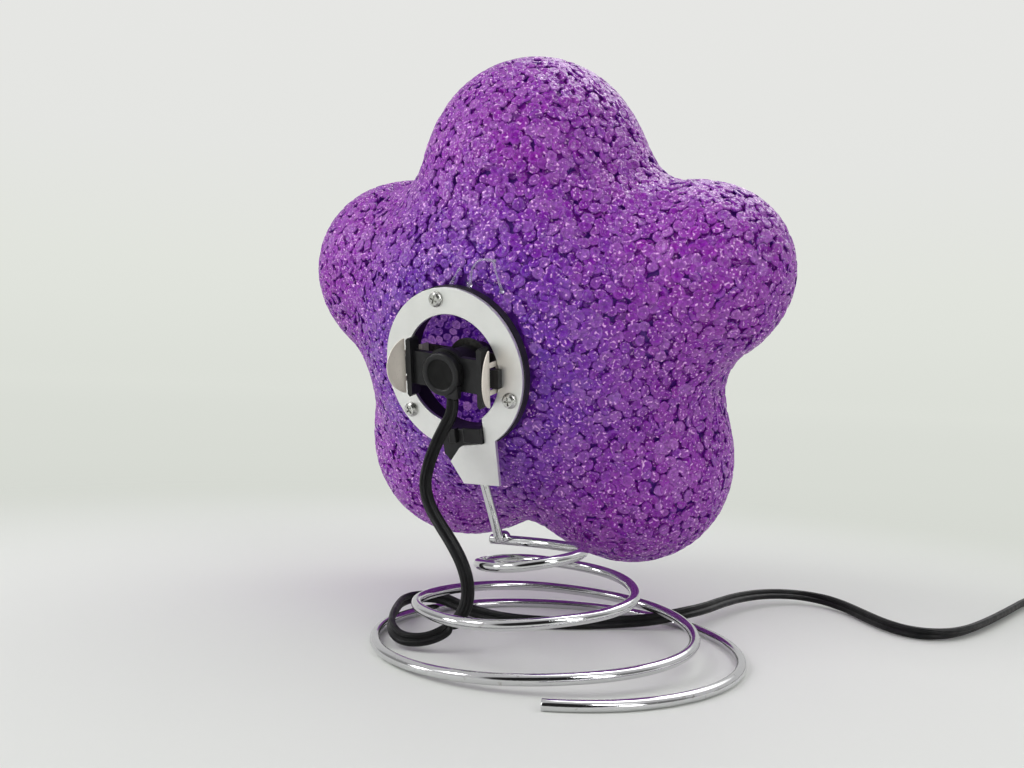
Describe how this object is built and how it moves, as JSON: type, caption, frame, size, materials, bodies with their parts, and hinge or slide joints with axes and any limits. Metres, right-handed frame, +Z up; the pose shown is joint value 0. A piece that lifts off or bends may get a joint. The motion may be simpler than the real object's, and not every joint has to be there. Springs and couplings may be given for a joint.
{
  "type": "table lamp",
  "caption": "Table lamp with a puffy star shade of fused plastic pellets on a conical coil of chromed wire, with a clip-in socket, a lead, a thumbwheel switch and a plug.",
  "frame": {"origin": "middle of the lamp's footprint box on the table, without the free lead", "axes": "+Z up, the shade's open back with its ring plate faces -Y, +X to the right of someone who looks at that back"},
  "size_m": [0.5065, 0.4048, 0.2959],
  "materials": {
    "popcorn_plastic": "translucent fused pellets",
    "clear_glue": "clear",
    "chromed_wire": "polished",
    "plated_steel": "satin",
    "zinc_screw": "zinc plated",
    "black_plastic": "moulded",
    "spring_steel": "bright",
    "brass": "bright",
    "nickel_cap": "bright",
    "bulb_glass": "clear",
    "tungsten": "dull",
    "black_insulator": "glossy",
    "black_lead": "satin"
  },
  "bodies": {
    "lamp": {"shade_back": "popcorn_plastic", "shade_front": "popcorn_plastic", "glue_blobs": "clear_glue", "collar": "black_plastic", "mount_plate": "plated_steel", "plate_screws": "zinc_screw", "upright_rod": "chromed_wire", "coil_base": "chromed_wire", "weld_beads": "chromed_wire", "socket_cap": "black_plastic", "socket_body": "black_plastic", "socket_bridge": "black_plastic", "clip_strap": "spring_steel", "clip_rivets": "zinc_screw", "screw_shell": "brass", "socket_insulator": "black_insulator", "centre_contact": "brass", "contact_rivet": "brass", "cord_terminals": "brass", "bulb_cap": "nickel_cap", "bulb_glass": "bulb_glass", "bulb_insulator": "black_insulator", "bulb_contact": "brass", "bulb_stem": "bulb_glass", "bulb_filament": "tungsten", "cord_lead": "black_lead", "cord_tail": "black_lead", "cord_coil": "black_lead", "switch_lower_shell": "black_plastic", "switch_upper_shell": "black_plastic", "switch_screw": "zinc_screw", "switch_contacts": "brass", "plug_relief": "black_lead", "plug_body": "black_lead", "plug_blades": "brass"},
    "left_clip": {"finger_clip_left": "spring_steel"},
    "right_clip": {"finger_clip_right": "spring_steel"},
    "thumbwheel": {"switch_wheel": "black_plastic"}
  },
  "joints": [
    {"name": "left_clip_flex", "type": "hinge", "parent": "lamp", "child": "left_clip", "pos_m": [-0.02626, -0.03972, 0.13424], "axis": [0.1045, -0.2624, 0.9593], "range_deg": [0, 6], "stiffness_Nm_per_rad": 0.2},
    {"name": "right_clip_flex", "type": "hinge", "parent": "lamp", "child": "right_clip", "pos_m": [0.02426, -0.03832, 0.12912], "axis": [0.1045, -0.2624, 0.9593], "range_deg": [-6, 0], "stiffness_Nm_per_rad": 0.2},
    {"name": "thumbwheel_turn", "type": "hinge", "parent": "lamp", "child": "thumbwheel", "pos_m": [0.2731, 0.2155, 0.0082], "axis": [0, 0, 1], "continuous": true}
  ]
}
